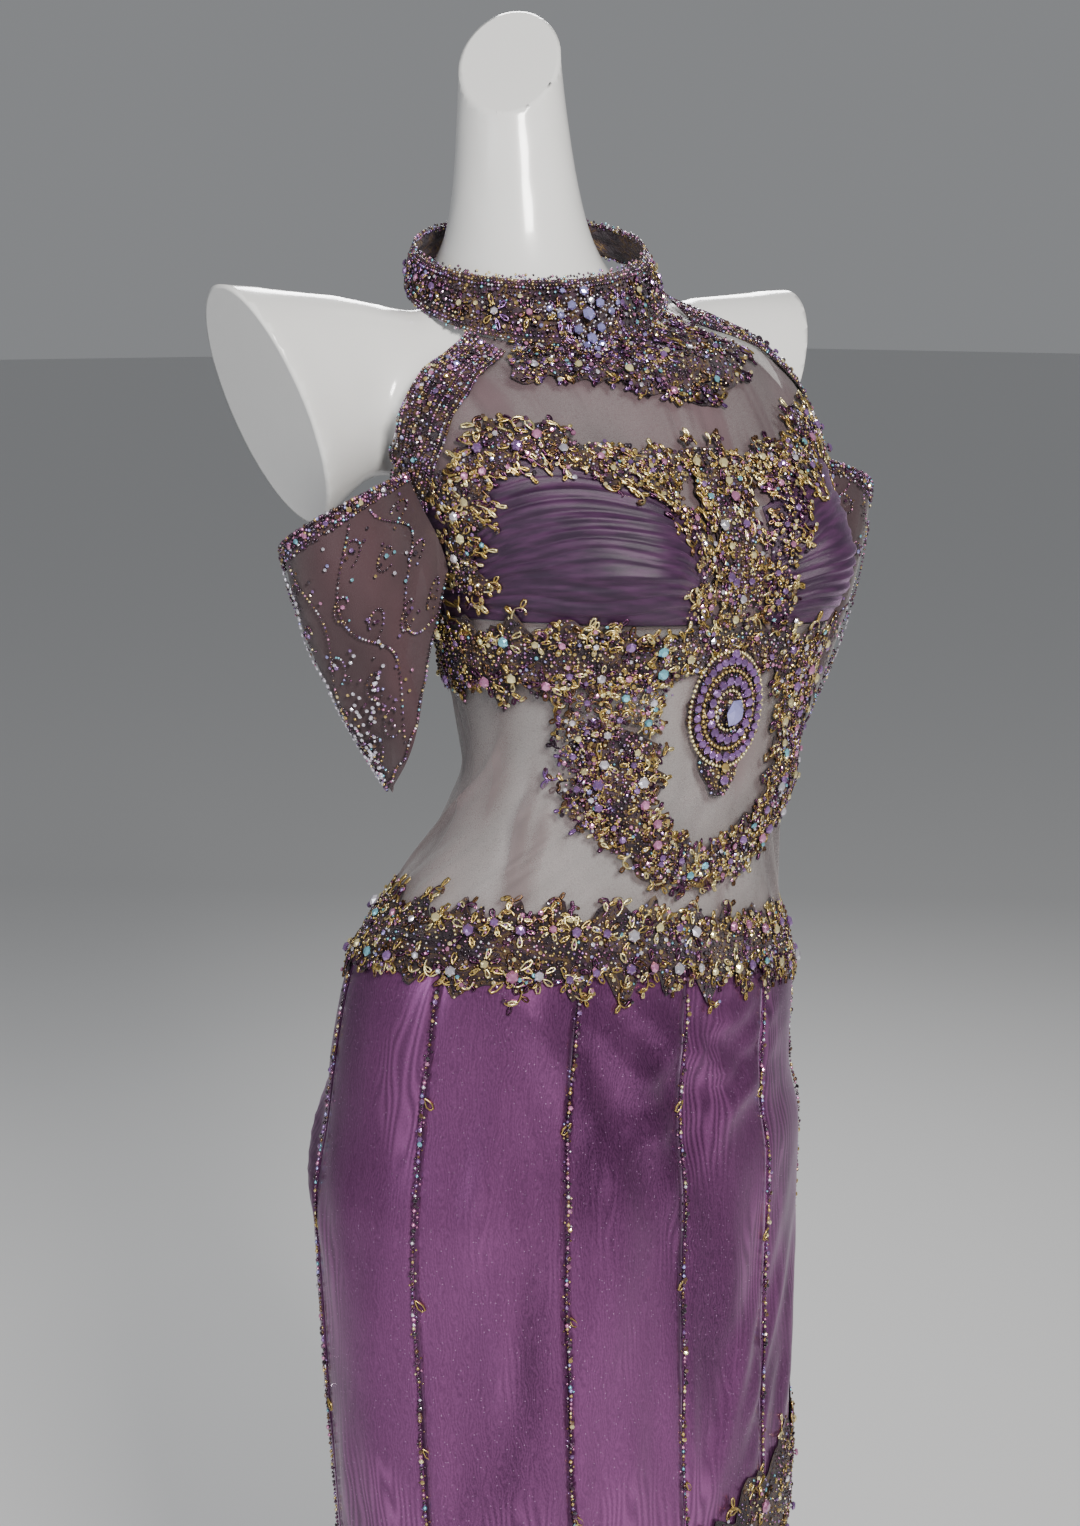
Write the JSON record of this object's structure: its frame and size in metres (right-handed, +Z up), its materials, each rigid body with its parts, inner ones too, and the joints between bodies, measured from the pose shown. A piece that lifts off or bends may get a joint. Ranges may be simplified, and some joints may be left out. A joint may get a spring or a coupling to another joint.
{
  "type": "mermaid evening dress on a limbless dress form",
  "caption": "Floor-length halter-neck mermaid dress with a sheer beaded bodice, drop cap sleeves and a flared skirt, worn by a limbless dress form on a round stand.",
  "frame": {"origin": "centre of the underside of the stand's round base, on the floor", "axes": "+Z up; -Y is the front of the dress; +X is the wearer's left"},
  "size_m": [0.878, 0.8547, 1.6068],
  "materials": {
    "satin": "satin under a fine glittering net",
    "net": "sheer fine net",
    "chiffon": "gathered chiffon",
    "beadwork": "embroidered net covered in beads and crystals",
    "form": "gloss white",
    "steel": "brushed"
  },
  "bodies": {
    "root": {"gore_front_right": "satin", "gore_side_front_right": "satin", "gore_side_right": "satin", "gore_side_back_right": "satin", "gore_back_right": "satin", "gore_front_left": "satin", "gore_side_front_left": "satin", "gore_side_left": "satin", "gore_side_back_left": "satin", "gore_back_left": "satin", "midriff_front": "net", "midriff_back_left": "net", "midriff_back_right": "net", "centre_front": "net", "yoke": "net", "sleeve_left": "net", "sleeve_right": "net", "cup_left": "chiffon", "cup_right": "chiffon", "back_left": "chiffon", "back_right": "chiffon", "collar_button_lower": "chiffon", "collar_button_upper": "chiffon", "collar": "beadwork", "armhole_band_right": "beadwork", "armhole_band_left": "beadwork", "cup_applique_right": "beadwork", "cup_applique_left": "beadwork", "midriff_applique_right": "beadwork", "midriff_applique_left": "beadwork", "centre_applique": "beadwork", "medallion": "beadwork", "neck_applique": "beadwork", "underbust_applique": "beadwork", "waist_applique_front": "beadwork", "waist_applique_back_left": "beadwork", "waist_applique_back_right": "beadwork", "knee_applique_left": "beadwork", "knee_applique_right": "beadwork", "form_body": "form", "stand_base": "steel", "stand_pole": "steel"}
  },
  "joints": []
}
